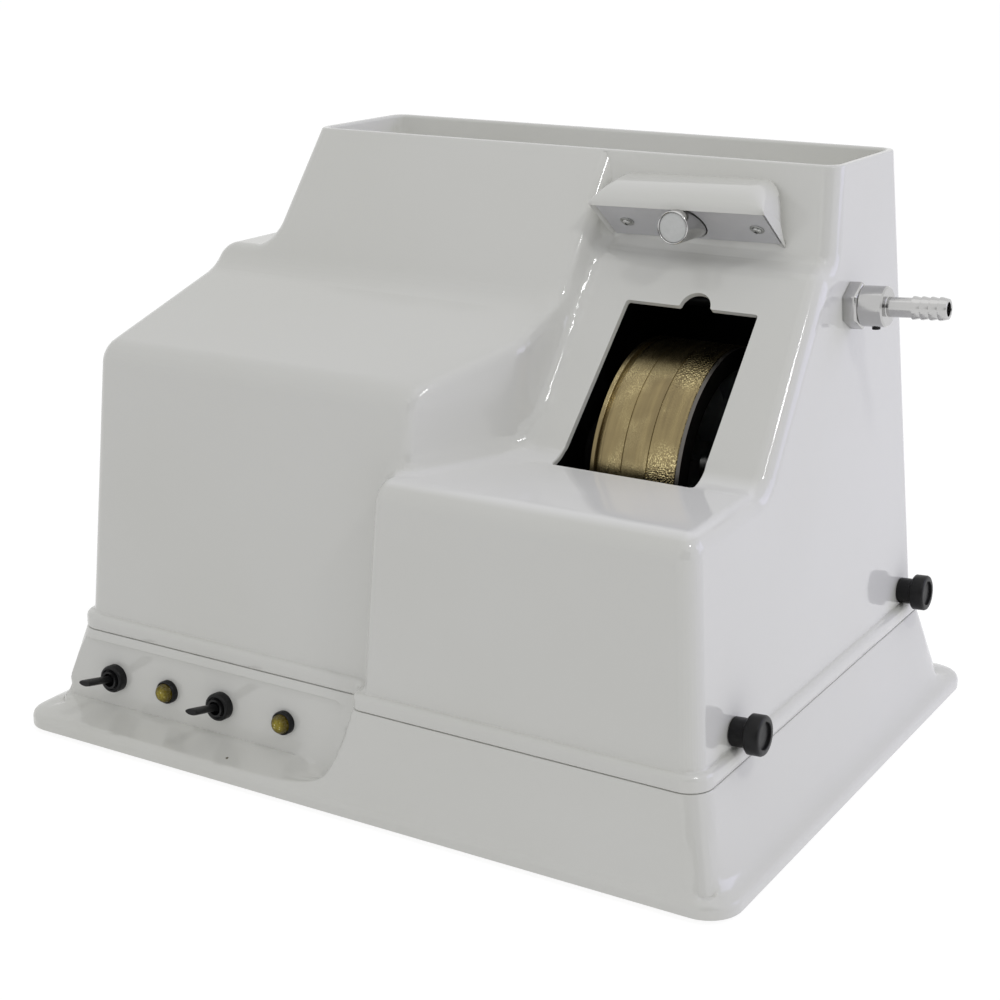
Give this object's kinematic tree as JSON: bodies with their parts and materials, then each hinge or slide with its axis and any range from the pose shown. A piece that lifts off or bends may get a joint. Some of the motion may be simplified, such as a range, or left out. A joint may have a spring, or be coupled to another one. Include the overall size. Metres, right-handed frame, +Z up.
{
  "type": "wet grinding machine",
  "caption": "Bench wet grinder for lens edges: white moulded hood with window, work lamp, water inlet and top tray over a motor-driven stack of bronze-bond wheels on a flanged base.",
  "frame": {"origin": "on the bench, under the middle of the machine's overall box", "axes": "+X to the right as seen by the operator and along the spindle, +Y to the back, +Z up"},
  "size_m": [0.5464, 0.425, 0.387],
  "materials": {
    "white_gelcoat": "glossy",
    "black_plastic": "satin",
    "amber_lens": "glossy",
    "rubber": "matte",
    "zinc_steel": "satin",
    "bright_steel": "polished",
    "aluminium": "satin",
    "bronze_bond": "ground",
    "motor_paint": "satin",
    "laminations": "matte",
    "copper_windings": "varnished",
    "frosted_lens": "frosted",
    "grey_plastic": "satin"
  },
  "bodies": {
    "machine": {"base_deck": "white_gelcoat", "base_shell": "white_gelcoat", "base_upstand": "white_gelcoat", "bottom_plate": "zinc_steel", "bottom_plate_screws": "zinc_steel", "cable_gland": "black_plastic", "capacitor_clip": "zinc_steel", "drain_elbow": "grey_plastic", "drain_locknut": "grey_plastic", "motor_cradle": "motor_paint", "motor_cradle_bolts": "zinc_steel", "motor_end_bells": "motor_paint", "motor_housing": "motor_paint", "partition_screws": "zinc_steel", "pilot_lamp_bezels": "black_plastic", "pilot_lamp_bodies": "black_plastic", "pilot_lamp_lenses": "amber_lens", "rubber_feet": "rubber", "run_capacitor": "aluminium", "shaft_bearings": "bright_steel", "shaft_seal": "rubber", "splash_partition": "black_plastic", "stator_core": "laminations", "stator_windings": "copper_windings", "sump_pan": "black_plastic", "switch_bodies": "black_plastic", "switch_collars": "black_plastic", "terminal_block": "grey_plastic"},
    "spindle": {"motor_shaft": "bright_steel", "rotor_core": "laminations", "motor_fan": "grey_plastic", "water_slinger": "rubber", "wheel_back_flange": "zinc_steel", "wheel_hub": "aluminium", "bevel_ring": "bronze_bond", "fine_ring": "bronze_bond", "medium_ring": "bronze_bond", "coarse_ring": "bronze_bond", "wheel_end_ring": "zinc_steel", "wheel_washer": "zinc_steel", "wheel_nut": "zinc_steel"},
    "hood": {"hood_shell": "white_gelcoat", "lamp_visor": "white_gelcoat", "lamp_plate": "aluminium", "lamp_plate_screws": "zinc_steel", "work_lamp_tube": "bright_steel", "work_lamp_lens": "frosted_lens", "work_lamp_socket": "grey_plastic", "inlet_barb": "bright_steel", "inlet_locknut": "bright_steel", "inlet_back_nut": "bright_steel", "inlet_set_screw": "black_plastic", "drip_pipe": "bright_steel", "clamp_nuts": "zinc_steel"},
    "left_toggle": {"toggle_lever_left": "black_plastic"},
    "right_toggle": {"toggle_lever_right": "black_plastic"},
    "front_clamp": {"front_knob": "black_plastic", "front_knob_stud": "zinc_steel"},
    "rear_clamp": {"rear_knob": "black_plastic", "rear_knob_stud": "zinc_steel"}
  },
  "joints": [
    {"name": "spindle_turn", "type": "hinge", "parent": "machine", "child": "spindle", "pos_m": [-0.00625, 0.0025, 0.194], "axis": [1, 0, 0], "continuous": true},
    {"name": "hood_lift", "type": "slide", "parent": "machine", "child": "hood", "axis": [0, 0, 1], "range_m": [0, 0.3]},
    {"name": "left_toggle_throw", "type": "hinge", "parent": "machine", "child": "left_toggle", "pos_m": [-0.21525, -0.17999, 0.03721], "axis": [1, 0, 0], "range_deg": [0, 18]},
    {"name": "right_toggle_throw", "type": "hinge", "parent": "machine", "child": "right_toggle", "pos_m": [-0.12425, -0.17999, 0.03721], "axis": [1, 0, 0], "range_deg": [0, 18]},
    {"name": "front_knob_turn", "type": "hinge", "parent": "hood", "child": "front_clamp", "pos_m": [0.22391, -0.1425, 0.087], "axis": [0.9977, 0, 0.0671], "range_deg": [0, 360]},
    {"name": "rear_knob_turn", "type": "hinge", "parent": "hood", "child": "rear_clamp", "pos_m": [0.22391, 0.1305, 0.087], "axis": [0.9977, 0, 0.0671], "range_deg": [0, 360]}
  ]
}
